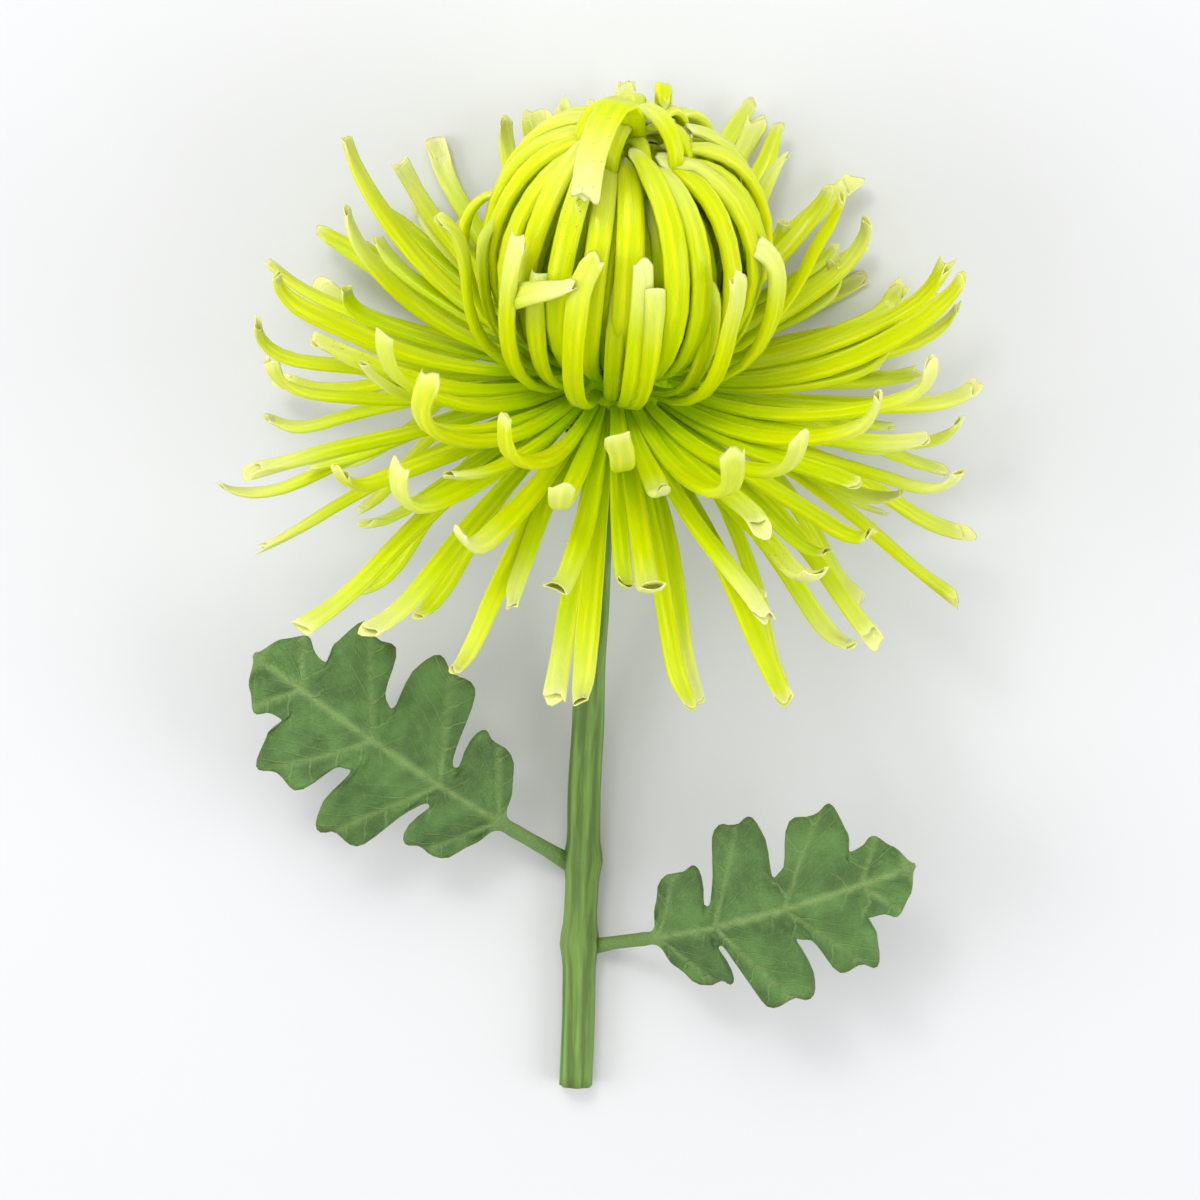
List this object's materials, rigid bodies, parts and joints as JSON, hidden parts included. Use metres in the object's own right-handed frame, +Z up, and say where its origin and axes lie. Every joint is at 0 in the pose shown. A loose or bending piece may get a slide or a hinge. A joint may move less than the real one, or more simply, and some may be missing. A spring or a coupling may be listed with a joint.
{
  "type": "cut spider chrysanthemum",
  "caption": "Cut lime-green spider chrysanthemum lying on its side: a ball of incurved tubular florets over long spreading ones, with calyx, bare stem and lobed leaves.",
  "frame": {"origin": "centre of the bounding box's bottom, on the surface that the flower lies on", "axes": "+Y from the stem's cut end to the bloom, +Z up from the surface, +X to the right when the bloom points away"},
  "size_m": [0.1285, 0.176, 0.0881],
  "materials": {
    "floret": "satin plant tissue",
    "calyx": "matte plant tissue",
    "stem": "matte plant tissue",
    "leaf": "matte plant tissue"
  },
  "bodies": {
    "root": {"bloom": "floret", "calyx": "calyx", "stem": "stem", "leaf_left": "leaf", "leaf_right": "leaf"}
  },
  "joints": []
}
